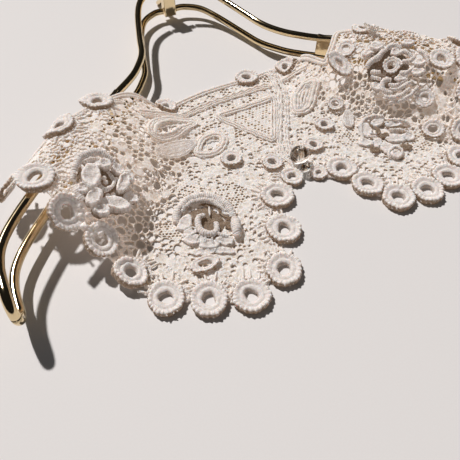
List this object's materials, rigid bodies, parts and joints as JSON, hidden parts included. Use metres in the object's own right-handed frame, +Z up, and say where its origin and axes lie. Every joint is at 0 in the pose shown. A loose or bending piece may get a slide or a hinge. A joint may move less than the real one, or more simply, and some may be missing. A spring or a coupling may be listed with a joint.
{
  "type": "irish crochet lace collar on a brass hanger",
  "caption": "Irish crochet lace collar with padded edge rings, raised roses and a glass ball button, draped over a flat-lying brass hanger with a hook.",
  "frame": {"origin": "centre of the bounding box's base, on the table", "axes": "+X along the hanger towards the half with the smaller lobe, +Y towards the hanger's hook, +Z up from the table"},
  "size_m": [0.409, 0.415, 0.0442],
  "materials": {
    "cotton": "matt cotton thread",
    "brass": "polished",
    "glass": "clear, smooth"
  },
  "bodies": {
    "root": {"ring_left_01": "cotton", "ring_left_02": "cotton", "ring_left_03": "cotton", "ring_left_04": "cotton", "ring_left_05": "cotton", "ring_left_06": "cotton", "ring_left_07": "cotton", "ring_left_08": "cotton", "ring_left_09": "cotton", "ring_left_10": "cotton", "ring_left_11": "cotton", "ring_left_12": "cotton", "ring_left_13": "cotton", "ring_left_14": "cotton", "ring_right_01": "cotton", "ring_right_02": "cotton", "ring_right_03": "cotton", "ring_right_04": "cotton", "ring_right_05": "cotton", "ring_right_06": "cotton", "ring_right_07": "cotton", "ring_right_08": "cotton", "ring_right_09": "cotton", "ring_right_10": "cotton", "ring_right_11": "cotton", "ring_right_12": "cotton", "ring_right_13": "cotton", "ring_right_14": "cotton", "ring_neck_01": "cotton", "ring_neck_02": "cotton", "ring_neck_03": "cotton", "ring_inner_01": "cotton", "ring_inner_02": "cotton", "ring_inner_03": "cotton", "ring_inner_04": "cotton", "ring_inner_05": "cotton", "ring_inner_06": "cotton", "ring_inner_07": "cotton", "ring_inner_08": "cotton", "ring_oval": "cotton", "ground_left": "cotton", "ground_right": "cotton", "rose_left": "cotton", "rose_right": "cotton", "wheel_rose": "cotton", "flower": "cotton", "leaf_left": "cotton", "leaf_right": "cotton", "cord_neck_left": "cotton", "cord_neck_right": "cotton", "scroll_crescent": "cotton", "scroll_teardrop": "cotton", "scroll_right": "cotton", "fan_border": "cotton", "hanger_block": "brass", "hanger_hook": "brass", "hanger_rod_left": "brass", "hanger_rod_right": "brass", "button_ball": "glass", "button_bead": "glass"}
  },
  "joints": []
}
